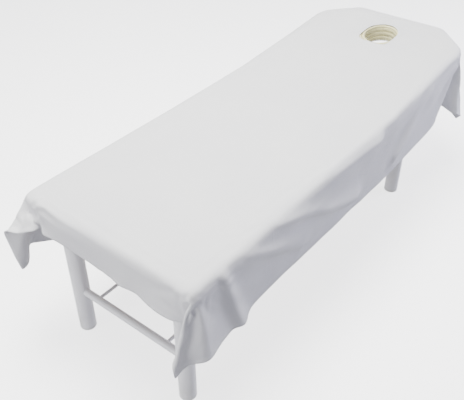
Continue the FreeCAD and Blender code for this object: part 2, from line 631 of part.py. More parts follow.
def sheet_back():
    """Panels drawn with the back flat; those at the head end hang upright once the back is at rest."""
    top = PAD_TOP + CLOTH_GAP
    half = BED_WIDTH / 2 + SKIRT_GAP
    end = SEAT_LENGTH + BACK_LENGTH
    start = SEAT_LENGTH + bend_gap()
    slant_x, slant_y = end - HEAD_SLANT_X + SKIRT_GAP, HEAD_SLANT_Y + 1
    outline = rounded_outline([(start, -half, 0), (slant_x, -half, HEAD_SIDE_R),
                               (end + HEAD_GAP, -slant_y, HEAD_END_R), (end + HEAD_GAP, slant_y, HEAD_END_R),
                               (slant_x, half, HEAD_SIDE_R), (start, half, 0)], top)
    deck = Part.Face(outline).extrude(V(0, 0, CLOTH))
    deck = deck.cut(ellipse_prism(FACE_IN_X + SHEET_HOLE, FACE_IN_Y + SHEET_HOLE, 0, FAR))
    low = PAD_TOP - SIDE_DROP
    side_end = end - SIDE_END_BACK
    rise = (side_end - SEAT_LENGTH) * math.tan(math.radians(REST_TILT))

    def skirt():
        panel = plate_xz([(start, top + CLOTH), (side_end, top + CLOTH), (side_end - 30, low - rise),
                          (SEAT_LENGTH + 3, low), (SEAT_LENGTH + 3, HINGE_Z)], half, half + CLOTH)
        panel.rotate(V(0, half, top + CLOTH), V(1, 0, 0), FLARE)
        return panel

    def corner():
        panel = box(0, CORNER_WIDTH, 0, CLOTH, top + CLOTH - CORNER_DROP, top + CLOTH)
        panel.rotate(V(0, 0, 0), V(0, 0, 1), -CORNER_TURN)
        panel.translate(V(end - CORNER_AT[0], BED_WIDTH / 2 - CORNER_AT[1], 0))
        panel.rotate(V(end - 60, 0, FRAME_TOP), V(0, -1, 0), -REST_TILT)
        return panel

    face = end + HEAD_GAP
    head = box(face, face + CLOTH, -HEAD_SLANT_Y + 5, HEAD_SLANT_Y - 5, PAD_TOP - HEAD_DROP, top + CLOTH)
    head.rotate(V(face, 0, FRAME_TOP), V(0, -1, 0), -REST_TILT)
    panels = [deck, *sides(skirt).values(), *sides(corner).values(), head]
    BACK["sheet_upper"] = Part.makeCompound(panels)


def put(name, shape, tilted):
    shape = shape.copy()
    if tilted:
        shape.rotate(V(SEAT_LENGTH, 0, HINGE_Z), V(0, -1, 0), REST_TILT)
    shape.translate(V(-ORIGIN_X, 0, 0))
    shape.exportStep(os.path.join("parts", name + ".step"))
    bad = [s for s in shape.Solids if not s.isValid() or s.Volume <= 0]
    state = "INVALID" if bad else ""
    print(f"{name:26s} solids {len(shape.Solids)} volume {shape.Volume / 1000:10.1f} cm3", state)
    return shape.BoundBox


def main():
    os.makedirs("parts", exist_ok=True)
    base_frame()
    legs()
    lower_frame()
    seat()
    back_pad()
    back_frame()
    face_opening()
    BACK["back_screws"] = Part.makeCompound(BACK_SCREWS)
    hinge()
    racks()
    prop()
    prop_lugs()
    sheet_base()
    sheet_back()
    whole = FreeCAD.BoundBox()
    for body, tilted in ((BASE, False), (BACK, True), (PROP, False)):
        for name, shape in body.items():
            whole.add(put(name, shape, tilted))
    ends = (whole.XMin, whole.XMax, whole.YMin, whole.YMax, whole.ZMin, whole.ZMax)
    print("bounds", [round(v, 1) for v in ends])
    print("nodes", len(BASE) + len(BACK) + len(PROP))


main()
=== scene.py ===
"""Looks for the massage bed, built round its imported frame: a draped and hemmed sheet, upholstered pads,
the cushioned ring of the face opening, and a finish for every steel, zinc, plastic and plywood part.
Everything is in metres, in the frame of the CAD model."""

import json
import math

import bmesh
import bpy
import numpy as np
from mathutils import Matrix, Vector, noise


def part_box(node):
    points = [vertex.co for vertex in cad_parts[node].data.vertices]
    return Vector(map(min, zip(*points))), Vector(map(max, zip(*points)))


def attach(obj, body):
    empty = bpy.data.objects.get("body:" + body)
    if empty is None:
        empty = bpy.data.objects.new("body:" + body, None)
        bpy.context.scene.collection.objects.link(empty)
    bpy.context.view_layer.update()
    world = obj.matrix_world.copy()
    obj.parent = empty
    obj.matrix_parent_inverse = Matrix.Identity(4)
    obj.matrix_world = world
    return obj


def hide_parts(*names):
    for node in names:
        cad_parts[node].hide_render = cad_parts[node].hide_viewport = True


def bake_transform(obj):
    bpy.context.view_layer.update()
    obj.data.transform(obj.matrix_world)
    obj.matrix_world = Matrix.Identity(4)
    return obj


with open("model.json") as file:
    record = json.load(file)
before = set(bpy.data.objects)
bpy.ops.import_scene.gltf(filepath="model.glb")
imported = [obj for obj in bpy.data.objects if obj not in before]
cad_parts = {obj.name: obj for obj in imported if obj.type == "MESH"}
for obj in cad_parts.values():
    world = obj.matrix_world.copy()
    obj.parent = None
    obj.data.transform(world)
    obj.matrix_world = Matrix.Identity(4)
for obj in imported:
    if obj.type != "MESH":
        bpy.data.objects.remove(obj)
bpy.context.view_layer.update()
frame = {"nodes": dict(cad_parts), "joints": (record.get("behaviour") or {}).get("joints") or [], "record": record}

# ---- places worked out from the frame
HINGE = Vector(next(j for j in frame["joints"] if j["name"] == "back_tilt")["pos_m"])
REST_TILT = math.radians(5)
TO_REST = Matrix.Translation(HINGE) @ Matrix.Rotation(-REST_TILT, 4, "Y") @ Matrix.Translation(-HINGE)
SEAT_LOW, SEAT_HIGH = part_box("seat_cover")
HALF_WIDTH = SEAT_HIGH.y
FOOT_X = SEAT_LOW.x
PAD_TOP = SEAT_HIGH.z
PAD_BASE = HINGE.z
LEG_R = 0.030


def flat_box(node):
    """A back section node's box with the back laid flat."""
    lay_flat = TO_REST.inverted()
    places = [lay_flat @ v.co for v in frame["nodes"][node].data.vertices]
    low = Vector([min(p[k] for p in places) for k in range(3)])
    high = Vector([max(p[k] for p in places) for k in range(3)])
    return low, high


HEAD_X = flat_box("back_cover")[1].x
RING_LOW, RING_HIGH = flat_box("face_cradle_cover")
FACE_X = (RING_LOW.x + RING_HIGH.x) / 2
RING_OUT_X = (RING_HIGH.x - RING_LOW.x) / 2
RING_OUT_Y = RING_HIGH.y
RING_WIDTH = 0.014
COVER_GAP = 0.0006                  # the covers clear the boards by this

# ---- the sheet as it was cut, and how it was laid on the bed: turned a little about a point near its middle
SHEET_WIDTH = 1.20
SHEET_LENGTH = 2.15
FOOT_OVERHANG = 0.125
SIDE_SHIFT = -0.018                 # the sheet hangs a little lower on the near side
SKEW = math.radians(-1.1)
SKEW_PIVOT = 0.9
CELL = 0.0125
HEM = 0.012
HEM_THICK = 0.0022
STITCH_PITCH = 0.0042
THREAD_PITCH = 0.0011
SINGLE_CLOTH = 0.35                 # the cloth's thickness as a share of its hem's

# the sheet's own opening, from its middle
HOLE_HEAD = 0.084
HOLE_FOOT = 0.093
HOLE_SIDE = 0.071
HOLE_SQUARENESS = 5                 # of its foot half
HOLE_SAMPLES = 360
RIM_REACH = 0.13                    # the whole rim lies within this
RELAX_REACH = 0.15                  # and the cloth's cells are evened out within this
RELAX_ROUNDS = 12

# how the sheet starts and falls
TOP_JOIN = (PAD_TOP - PAD_BASE) * math.tan(REST_TILT / 2)   # the pads' tops meet this far past the hinge
REST_GAP = 0.0025
START_FOLD = math.radians(40)
LOOSE_FOLD = math.radians(3)        # the far foot corner starts almost spread, and so falls as an ear
LOOSE_REACH = 0.6
TOP_SWELL = 0.0025
TOP_FADE = 0.1                      # the swell dies away over this width at the pads' edge
HOLD_FROM, HOLD_OVER = 0.04, 0.06   # the cloth is held from this far inside their edge, over this width
SETTLE_FRAMES = 45
CLOTH = {"quality": 7, "mass": 0.02, "air_damping": 1.5, "vertex_group_mass": "held", "pin_stiffness": 1.0,
         "tension_stiffness": 30, "compression_stiffness": 30, "shear_stiffness": 12,
         "bending_stiffness": 0.35,
         "tension_damping": 8, "compression_damping": 8, "shear_damping": 8, "bending_damping": 0.5}

# soft folds of the side panels: points (from the foot end, below the pads' edge), width, height
NEAR_FOLDS = [(((0.114, 0.0), (0.148, 0.125), (0.190, 0.280)), 0.024, 0.026),
              (((0.375, 0.010), (0.530, 0.065), (0.700, 0.145), (0.860, 0.200)), 0.024, 0.026),
              (((0.620, 0.000), (0.740, 0.012), (1.020, 0.035)), 0.018, 0.013),
              (((0.193, 0.000), (0.397, 0.115), (0.530, 0.195)), 0.024, 0.013),
              (((1.460, 0.040), (1.330, 0.100), (1.180, 0.200)), 0.024, 0.015)]
FAR_FOLDS = [(((0.220, 0.0), (0.300, 0.240)), 0.030, 0.016),
             (((1.020, 0.010), (0.820, 0.090), (0.640, 0.200)), 0.028, 0.015),
             (((1.240, 0.0), (1.420, 0.210)), 0.026, 0.013)]
BUCKLE = 0.004
PRESS_END = HEAD_X - 0.15           # no folds are pressed past here
FOOT_FADE, HEAD_FADE, EDGE_FADE = 0.05, 0.10, 0.03   # and they die away over these widths at their limits


# ---- meshes from rings of points
MERGE_REACH = 0.0005                # points nearer to each other than this become one


def rounded_outline(corners, step):
    """Points round a closed outline of (x, y, radius) corners, at most step apart."""
    n = len(corners)
    runs = []
    for i, (x, y, r) in enumerate(corners):
        here = Vector((x, y))
        back = (Vector(corners[i - 1][:2]) - here).normalized()
        ahead = (Vector(corners[(i + 1) % n][:2]) - here).normalized()
        half = back.angle(ahead) / 2
        if r == 0:
            runs.append([here])
            continue
        centre = here + (back + ahead).normalized() * (r / math.sin(half))
        start = here + back * (r / math.tan(half)) - centre
        turn = math.pi - 2 * half
        count = max(2, math.ceil(r * turn / step))
        way = 1 if back.cross(ahead) < 0 else -1
        runs.append([centre + Matrix.Rotation(way * turn * k / count, 2) @ start for k in range(count + 1)])
    points = []
    for i, run in enumerate(runs):
        points += run
        gap = runs[(i + 1) % n][0] - run[-1]
        count = max(1, math.ceil(gap.length / step))
        points += [run[-1] + gap * k / count for k in range(1, count)]
    return points


def mesh_from_rings(name, rings, close_first=True, close_last=True, loop=False):
    """Joins rings that have the same number of points by faces. With loop, the last ring joins the first."""
    count = len(rings[0])
    vertices = [tuple(p) for ring in rings for p in ring]
    faces = []
    pairs = list(zip(range(len(rings)), range(1, len(rings))))
    if loop:
        pairs.append((len(rings) - 1, 0))
    for a, b in pairs:
        for k in range(count):
            m = (k + 1) % count
            faces.append((a * count + k, a * count + m, b * count + m, b * count + k))
    if close_first and not loop:
        faces.append(tuple(reversed(range(count))))
    if close_last and not loop:
        faces.append(tuple((len(rings) - 1) * count + k for k in range(count)))
    mesh = bpy.data.meshes.new(name)
    mesh.from_pydata(vertices, [], faces)
    obj = bpy.data.objects.new(name, mesh)
    bpy.context.scene.collection.objects.link(obj)
    tidy_mesh(obj)
    return obj


def tidy_mesh(obj):
    """Merges doubled points, drops empty faces and turns every face outwards."""
    work = bmesh.new()
    work.from_mesh(obj.data)
    bmesh.ops.remove_doubles(work, verts=work.verts, dist=MERGE_REACH)
    bmesh.ops.dissolve_degenerate(work, edges=work.edges, dist=1e-6)
    bmesh.ops.recalc_face_normals(work, faces=work.faces)
    work.to_mesh(obj.data)
    work.free()
    obj.data.shade_smooth()


def modifier(obj, kind, **values):
    """Adds a modifier and sets its values."""
    added = obj.modifiers.new(kind.title(), kind)
    for key, value in values.items():
        setattr(added, key, value)
    return added


def apply_modifiers(obj):
    """Makes the modified shape the object's own mesh."""
    graph = bpy.context.evaluated_depsgraph_get()
    mesh = bpy.data.meshes.new_from_object(obj.evaluated_get(graph), depsgraph=graph)
    obj.modifiers.clear()
    obj.data = mesh
    return obj


# ---- upholstered pads
PAD_LEAN = math.radians(22.5)       # how far the pads' facing ends lean back
END_GAP = 0.0022                    # they stand this far off the hinge at their foot
OVERCUT = 0.02                      # and are drawn this far past it, then cut back
FOOT_CORNER_R = 0.025
HEAD_HALF = 0.205                   # half the width of the head end, behind its slanting corners
HEAD_TAPER = 0.130
SHOULDER_R = 0.090
HEAD_CORNER_R = 0.045
HOLE_PLAY = 0.0008                  # round the ring cushion, in its hole
FINE_STEP, COARSE_STEP = 0.02, 0.06
FINE_ROWS, COARSE_ROWS = 14, 5
CROWN = 0.004
EDGE_R = 0.018
SEAM_DOWN = 0.024                   # a sewn seam runs round the side this far below the top


def pad_profile():
    """(inset, height) up the side of a pad: the cover is drawn under, bellies out, dips at its seam and
    rounds over to the top."""
    side = [(0.0015, PAD_BASE + COVER_GAP), (0.0003, PAD_BASE + 0.003), (0.0008, PAD_BASE + 0.010),
            (0.0016, PAD_BASE + 0.022), (0.0018, PAD_BASE + 0.034)]
    seam = PAD_TOP - SEAM_DOWN
    side += [(0.0010, seam - 0.004), (0.0008, seam - 0.0016), (0.0030, seam), (0.0006, seam + 0.0016)]
    for k in range(7):
        turn = math.radians(90 * k / 6)
        side.append((0.0004 + EDGE_R * (1 - math.cos(turn)), PAD_TOP - CROWN - EDGE_R * (1 - math.sin(turn))))
    return side


def inset_ring(outline, inset, height, middle):
    """The outline drawn in towards the nearest point of the pad's middle line."""
    ring = []
    for p in outline:
        toward = middle(p) - p
        ring.append(Vector((*(p + toward.normalized() * inset), height)))
    return ring


def lean_end(points, toward_head, lean):
    """Cuts the pad's facing end back on the slant, so that the raised back clears the seat."""
    way = 1 if toward_head else -1
    for p in points:
        limit = HINGE.x + way * (END_GAP + (p.z - PAD_BASE) * math.tan(lean))
        if (p.x - limit) * way < 0:
            p.x = limit
    return points


def pad(name, corners, middle, toward_head, inner=None, fine=True):
    """A foam pad in its cover: crowned on top, with a seam round its side. inner gives the rim of its hole.
    A pad that is not fine is a light form of the same shape, for the cloth to fall on."""
    outline = rounded_outline(corners, FINE_STEP if fine else COARSE_STEP)
    profile = pad_profile() if fine else pad_profile()[::3]
    rings = [inset_ring(outline, inset, z, middle) for inset, z in profile]
    last = rings[-1]
    steps = FINE_ROWS if fine else COARSE_ROWS
    for k in range(1, steps + 1):
        share = k / steps
        ring = []
        for rim, p in zip(last, outline):
            end = inner(p) if inner else middle(p)
            place = rim.xy.lerp(end, share)
            ring.append(Vector((*place, PAD_TOP - CROWN * (1 - share) ** 2)))
        rings.append(ring)
    if inner:
        for down in (0.002, 0.030, PAD_TOP - PAD_BASE - COVER_GAP):
            rings.append([Vector((p.x, p.y, PAD_TOP - down)) for p in rings[-1]])
    for ring in rings:
        lean_end(ring, toward_head, PAD_LEAN if fine else 0)
    obj = mesh_from_rings(name, rings, loop=bool(inner), close_last=False)
    if fine:
        modifier(obj, "SUBSURF", levels=1, render_levels=1)
        apply_modifiers(obj)
    return obj


def seat_middle(p):
    low, high = FOOT_X + HALF_WIDTH, HINGE.x - HALF_WIDTH
    return Vector((min(max(p.x, low), high), 0))


def make_seat_pad(name="seat_pad", fine=True):
    half, end = HALF_WIDTH, HINGE.x + OVERCUT
    corners = [(FOOT_X, -half, FOOT_CORNER_R), (end, -half, 0), (end, half, 0), (FOOT_X, half, FOOT_CORNER_R)]
    return pad(name, corners, seat_middle, False, fine=fine)


def back_corners():
    half, start, shoulder = HALF_WIDTH, HINGE.x - OVERCUT, HEAD_X - HEAD_TAPER
    return [(start, -half, 0), (shoulder, -half, SHOULDER_R), (HEAD_X, -HEAD_HALF, HEAD_CORNER_R),
            (HEAD_X, HEAD_HALF, HEAD_CORNER_R), (shoulder, half, SHOULDER_R), (start, half, 0)]


def on_ellipse(p, half_x, half_y):
    """The point of the face opening's ellipse in the direction of p."""
    away = Vector((p.x - FACE_X, p.y))
    turn = math.atan2(away.y / half_y, away.x / half_x)
    return Vector((FACE_X + half_x * math.cos(turn), half_y * math.sin(turn)))


def back_middle(p):
    """Somewhat towards the face opening from the nearest point of the back's middle line."""
    nearest = Vector((min(max(p.x, HINGE.x + HALF_WIDTH), FACE_X), 0))
    return Vector((FACE_X, 0)).lerp(nearest, 0.7)


def make_back_pad(name="back_pad", fine=True):
    hole_x, hole_y = RING_OUT_X + HOLE_PLAY, RING_OUT_Y + HOLE_PLAY
    obj = pad(name, back_corners(), back_middle, True, lambda p: on_ellipse(p, hole_x, hole_y), fine)
    obj.data.transform(TO_REST)
    return obj


# ---- the ring cushion of the face opening
RING_POINTS = 120
RING_PLAY = 0.0004                  # under it
LIP = 0.007                         # the height of its rounded lip
LIP_STEPS = 9
SEAM_GAP = 0.001                    # between the lip and the first channel
CHANNELS = 3
CHANNEL_STEPS = 8
CHANNEL_DEEP = 0.003
PUCKERS, PUCKER_DEEP = 30, 0.0004


def ring_profile():
    """(distance in from the ring's outside, height) round the ring's section: a rounded lip above sewn
    channels."""
    top = RING_HIGH.z
    bottom = RING_LOW.z + RING_PLAY
    points = [(COVER_GAP, bottom), (COVER_GAP, top - LIP)]
    for k in range(1, LIP_STEPS):
        turn = math.pi * k / LIP_STEPS
        points.append((RING_WIDTH / 2 - (RING_WIDTH / 2 - COVER_GAP) * math.cos(turn),
                       top - LIP + LIP * math.sin(turn)))
    wall_top = top - LIP - SEAM_GAP
    for channel in range(CHANNELS):
        for k in range(CHANNEL_STEPS + 1):
            share = (channel + k / CHANNEL_STEPS) / CHANNELS
            bulge = CHANNEL_DEEP * (math.sin(math.pi * k / CHANNEL_STEPS) ** 0.7 - 1)
            points.append((RING_WIDTH - 0.0002 + bulge, wall_top + (bottom - wall_top) * share))
    return points


def make_ring():
    """The ring's section taken round the opening, with the cover puckered along its inner wall."""
    rings = []
    for depth, z in ring_profile():
        ring = []
        for k in range(RING_POINTS):
            turn = 2 * math.pi * k / RING_POINTS
            pucker = PUCKER_DEEP * math.sin(turn * PUCKERS) if depth > RING_WIDTH - 0.002 else 0
            ring.append(Vector((FACE_X + (RING_OUT_X - depth - pucker) * math.cos(turn),
                                (RING_OUT_Y - depth - pucker) * math.sin(turn), z)))
        rings.append(ring)
    obj = mesh_from_rings("face_cradle_ring", rings, loop=True)
    obj.data.transform(TO_REST)
    return obj


# ---- the sheet
def hole_reach(turn):
    """How far the sheet's opening reaches from its middle: round towards the head, nearly square towards the
    foot."""
    half_length, power = (HOLE_HEAD, 2) if math.cos(turn) > 0 else (HOLE_FOOT, HOLE_SQUARENESS)
    share = abs(math.cos(turn) / half_length) ** power + abs(math.sin(turn) / HOLE_SIDE) ** power
    return share ** (-1 / power)


def lay_place(along, across):
    """Where a point of the cloth lies on the bed, with the back flat, if the sheet is spread out."""
    x = along - FOOT_OVERHANG - SKEW_PIVOT
    y = across + SIDE_SHIFT
    turned_x = FOOT_X + SKEW_PIVOT + x * math.cos(SKEW) - y * math.sin(SKEW)
    turned_y = x * math.sin(SKEW) + y * math.cos(SKEW)
    past_bend = turned_x > HINGE.x + TOP_JOIN
    return turned_x - (2 * TOP_JOIN if past_bend else 0), turned_y


def cloth_spot(place_x, place_y):
    """The point of the cloth that lies at a place past the bend: the reverse of lay_place."""
    x = place_x + 2 * TOP_JOIN - FOOT_X - SKEW_PIVOT
    return (x * math.cos(SKEW) + place_y * math.sin(SKEW) + FOOT_OVERHANG + SKEW_PIVOT,
            place_y * math.cos(SKEW) - x * math.sin(SKEW) - SIDE_SHIFT)


def hole_outline(count):
    """Evenly spaced points round the sheet's opening, on the cloth."""
    middle = Vector(cloth_spot(FACE_X, 0))
    fine = []
    for k in range(HOLE_SAMPLES + 1):
        turn = 2 * math.pi * k / HOLE_SAMPLES
        fine.append(middle + hole_reach(turn) * Vector((math.cos(turn), math.sin(turn))))
    lengths = [0.0]
    for p, q in zip(fine, fine[1:]):
        lengths.append(lengths[-1] + (q - p).length)
    wanted = np.arange(count) * lengths[-1] / count
    return np.column_stack([np.interp(wanted, lengths, [p[k] for p in fine]) for k in (0, 1)])


def cloth_grid():
    """A grid of the sheet's cut size, less the cells that its opening takes away."""
    columns, rows = round(SHEET_LENGTH / CELL), round(SHEET_WIDTH / CELL)
    grid = np.array([(SHEET_LENGTH * i / columns, SHEET_WIDTH * (j / rows - 0.5))
                     for i in range(columns + 1) for j in range(rows + 1)])
    away = grid - np.array(cloth_spot(FACE_X, 0))
    reach = np.array([hole_reach(turn) for turn in np.arctan2(away[:, 1], away[:, 0])])
    inside = np.hypot(away[:, 0], away[:, 1]) < reach
    width = rows + 1
    corners = [i * width + j for i in range(columns) for j in range(rows)]
    faces = [(c, c + width, c + width + 1, c + 1) for c in corners]
    faces = [f for f in faces if inside[list(f)].sum() <= 1]
    used = sorted({v for f in faces for v in f})
    renumber = {old: new for new, old in enumerate(used)}
    return grid[used], [tuple(renumber[v] for v in f) for f in faces]


def smooth_hole(grid, faces):
    """Moves the rim of the grid's hole onto the opening's outline, and evens out the cells round it."""
    edge_uses = {}
    for f in faces:
        for edge in zip(f, f[1:] + f[:1]):
            key = tuple(sorted(edge))
            edge_uses[key] = edge_uses.get(key, 0) + 1
    links = [[] for _ in grid]
    for v, w in edge_uses:
        links[v].append(w)
        links[w].append(v)
    away = grid - np.array(cloth_spot(FACE_X, 0))
    near = np.hypot(*away.T)
    rim = {v for edge, uses in edge_uses.items() if uses == 1 for v in edge if near[v] < RIM_REACH}
    rim = sorted(rim, key=lambda v: math.atan2(away[v, 1], away[v, 0]) % (2 * math.pi))
    grid[rim] = hole_outline(len(rim))
    for _ in range(RELAX_ROUNDS):
        for v in np.nonzero(near < RELAX_REACH)[0]:
            if v not in rim:
                grid[v] = grid[links[v]].mean(axis=0)


def hem_gaps(grid):
    """How far each point of the cloth is from the nearest hem."""
    outline = hole_outline(HOLE_SAMPLES)
    to_hole = np.min(np.hypot(grid[:, 0, None] - outline[:, 0], grid[:, 1, None] - outline[:, 1]), axis=1)
    to_end = np.minimum(grid[:, 0], SHEET_LENGTH - grid[:, 0])
    to_side = SHEET_WIDTH / 2 - np.abs(grid[:, 1])
    return np.minimum(to_hole, np.minimum(to_end, to_side))


def bed_outline():
    """The outline of both pads together, with the back flat."""
    half = HALF_WIDTH
    corners = [(FOOT_X, -half, FOOT_CORNER_R), *back_corners()[1:-1], (FOOT_X, half, FOOT_CORNER_R)]
    return np.array([tuple(p) for p in rounded_outline(corners, FINE_STEP)])


def nearest_edge(places, outline):
    """For each place: the nearest point of the outline, and how far it is, counted negative inside."""
    run = np.roll(outline, -1, axis=0) - outline
    away = places[:, None] - outline
    share = np.einsum("pok,ok->po", away, run) / (run ** 2).sum(axis=1)
    spots = outline + np.clip(share, 0, 1)[..., None] * run
    gap = np.linalg.norm(places[:, None] - spots, axis=2)
    best = gap.argmin(axis=1)
    rows = np.arange(len(places))
    inside = (run[:, 0] * away[..., 1] - run[:, 1] * away[..., 0] > 0).all(axis=1)
    return spots[rows, best], gap[rows, best] * np.where(inside, -1, 1)


def fold_over(place, spot, gap):
    """A spread point brought to where it starts: on the pads, or turned down over their edge."""
    x, y = place
    height = PAD_TOP + REST_GAP
    if gap > 0:
        out = (Vector(place) - Vector(spot)).normalized()
        loose = max(0, 1 - math.hypot(x - FOOT_X, y - HALF_WIDTH) / LOOSE_REACH)
        fold = START_FOLD + (LOOSE_FOLD - START_FOLD) * min(1, 2 * loose)
        x, y = Vector(spot) + out * (gap * math.cos(fold) + REST_GAP)
        height -= gap * math.sin(fold)
    else:
        broad = noise.noise(Vector((x * 4.1, y * 5.3, 2.3)))
        small = noise.noise(Vector((x * 11, y * 13, 5.1)))
        height += TOP_SWELL * max(0, broad + 0.5 * small) * min(1, -gap / TOP_FADE)
    start = Vector((x, y, height))
    return TO_REST @ start if place[0] > HINGE.x - TOP_JOIN else start


def new_sheet():
    """The sheet before it falls, and where each of its points lies on the flat cloth."""
    flats, faces = cloth_grid()
    smooth_hole(flats, faces)
    from_hem = hem_gaps(flats)
    places = np.array([lay_place(*p) for p in flats])
    spots, gaps = nearest_edge(places, bed_outline())
    mesh = bpy.data.meshes.new("draped_sheet")
    mesh.from_pydata([fold_over(*args) for args in zip(places, spots, gaps)], [], faces)
    mesh.attributes.new("cloth_place", "FLOAT_VECTOR", "POINT").data.foreach_set(
        "vector", np.column_stack([flats, np.zeros(len(flats))]).ravel())
    mesh.attributes.new("from_hem", "FLOAT", "POINT").data.foreach_set("value", from_hem)
    obj = bpy.data.objects.new("draped_sheet", mesh)
    bpy.context.scene.collection.objects.link(obj)
    held = obj.vertex_groups.new(name="held")
    hem = obj.vertex_groups.new(name="hem")
    for v, (gap, away) in enumerate(zip(gaps, from_hem)):
        hold = min(max((-gap - HOLD_FROM) / HOLD_OVER, 0), 1)
        held.add([v], hold * hold * (3 - 2 * hold), "REPLACE")
        hem.add([v], 1.0 if away < HEM else SINGLE_CLOTH, "REPLACE")
    return obj, flats


def collider(obj):
    """Lets the cloth meet the form, and rub on it."""
    modifier(obj, "COLLISION")
    obj.collision.thickness_outer = REST_GAP
    obj.collision.thickness_inner = 0.02
    obj.collision.cloth_friction = 40
    obj.collision.damping = 0.6


def upright_form(name, outline, bottom, top):
    """The outline raised straight up from bottom to top."""
    return mesh_from_rings(name, [[Vector((x, y, z)) for x, y in outline] for z in (bottom, top)])


def fall_forms():
    """Plain forms of the pads, rails and legs, only for the cloth to fall against."""
    forms = [make_seat_pad("seat_form", False), make_back_pad("back_form", False)]
    low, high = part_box("side_rail_right")[0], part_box("side_rail_left")[1]
    corners = [(low.x, low.y), (high.x, low.y), (high.x, high.y), (low.x, high.y)]
    forms.append(upright_form("rail_form", corners, low.z, high.z - 0.001))
    for end in ("foot", "head"):
        for side in ("left", "right"):
            low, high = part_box(f"leg_{end}_{side}")
            middle = (low + high) / 2
            turns = [math.pi * k / 8 for k in range(16)]
            circle = [(middle.x + LEG_R * math.cos(t), middle.y + LEG_R * math.sin(t)) for t in turns]
            forms.append(upright_form(f"leg_form_{end}_{side}", circle, 0.0, high.z))
    return forms


def settle(obj, flats, frames):
    """Lets the cloth fall, with the rest lengths of the flat cloth, and keeps the shape that it comes to."""
    obj.shape_key_add(name="start")
    flat = obj.shape_key_add(name="flat")
    flat.data.foreach_set("co", np.column_stack([flats, np.zeros(len(flats))]).ravel())
    flat.value = 0
    cloth = modifier(obj, "CLOTH")
    for key, value in CLOTH.items():
        setattr(cloth.settings, key, value)
    cloth.settings.rest_shape_key = flat
    cloth.collision_settings.distance_min = REST_GAP
    cloth.collision_settings.collision_quality = 3
    cloth.collision_settings.use_self_collision = False
    scene = bpy.context.scene
    scene.frame_start, scene.frame_end = 1, frames
    cloth.point_cache.frame_start, cloth.point_cache.frame_end = 1, frames
    for step in range(1, frames + 1):
        scene.frame_set(step)
    return apply_modifiers(obj)


def fold_height(along, drop, path, width, height):
    """How far a soft fold stands out at a place on a side panel: it runs along the path, widens towards its
    end and falls off more sharply on one side."""
    place = Vector((along, drop))
    corners = [Vector(p) for p in path]
    total = sum((q - p).length for p, q in zip(corners, corners[1:]))
    passed, best = 0.0, (math.inf, 0.0, 0.0)
    for p, q in zip(corners, corners[1:]):
        length = (q - p).length
        run = (q - p) / length
        share = min(max((place - p).dot(run), 0), length)
        offset = place - p - run * share
        if offset.length < best[0]:
            best = (offset.length, run.cross(offset), (passed + share) / total)
        passed += length
    gap, side, way = best
    reach = width * (0.5 + 0.8 * way) * (0.75 if side > 0 else 1.5)
    return height * (0.45 + 0.55 * way) * math.exp(-(gap / reach) ** 2)


def press_folds(obj, flats):
    """The soft folds and small buckles of the side panels, pushed outwards from the settled cloth."""
    for v, (along, across) in zip(obj.data.vertices, flats):
        x, y = lay_place(along, across)
        drop = abs(y) - HALF_WIDTH
        if drop < 0 or not FOOT_X < x < PRESS_END:
            continue
        side, folds = (1, FAR_FOLDS) if y > 0 else (-1, NEAR_FOLDS)
        grown = sum(fold_height(x - FOOT_X, drop, *fold) for fold in folds)
        grown += BUCKLE * noise.noise(Vector((along * 9, across * 5, 3.7 * side)))
        ends = min(1, (x - FOOT_X) / FOOT_FADE, (PRESS_END - x) / HEAD_FADE)
        v.co.y += side * grown * min(1, drop / EDGE_FADE) * ends


def make_sheet():
    """The sheet as it hangs, thicker at its hem."""
    obj, flats = new_sheet()
    forms = fall_forms()
    for form in forms:
        collider(form)
    settle(obj, flats, SETTLE_FRAMES)
    for form in forms:
        bpy.data.objects.remove(form)
    press_folds(obj, flats)
    modifier(obj, "SUBSURF", levels=1, render_levels=1)
    apply_modifiers(obj)
    modifier(obj, "SOLIDIFY", thickness=HEM_THICK, offset=1.0, vertex_group="hem")
    apply_modifiers(obj)
    obj.data.shade_smooth()
    return obj


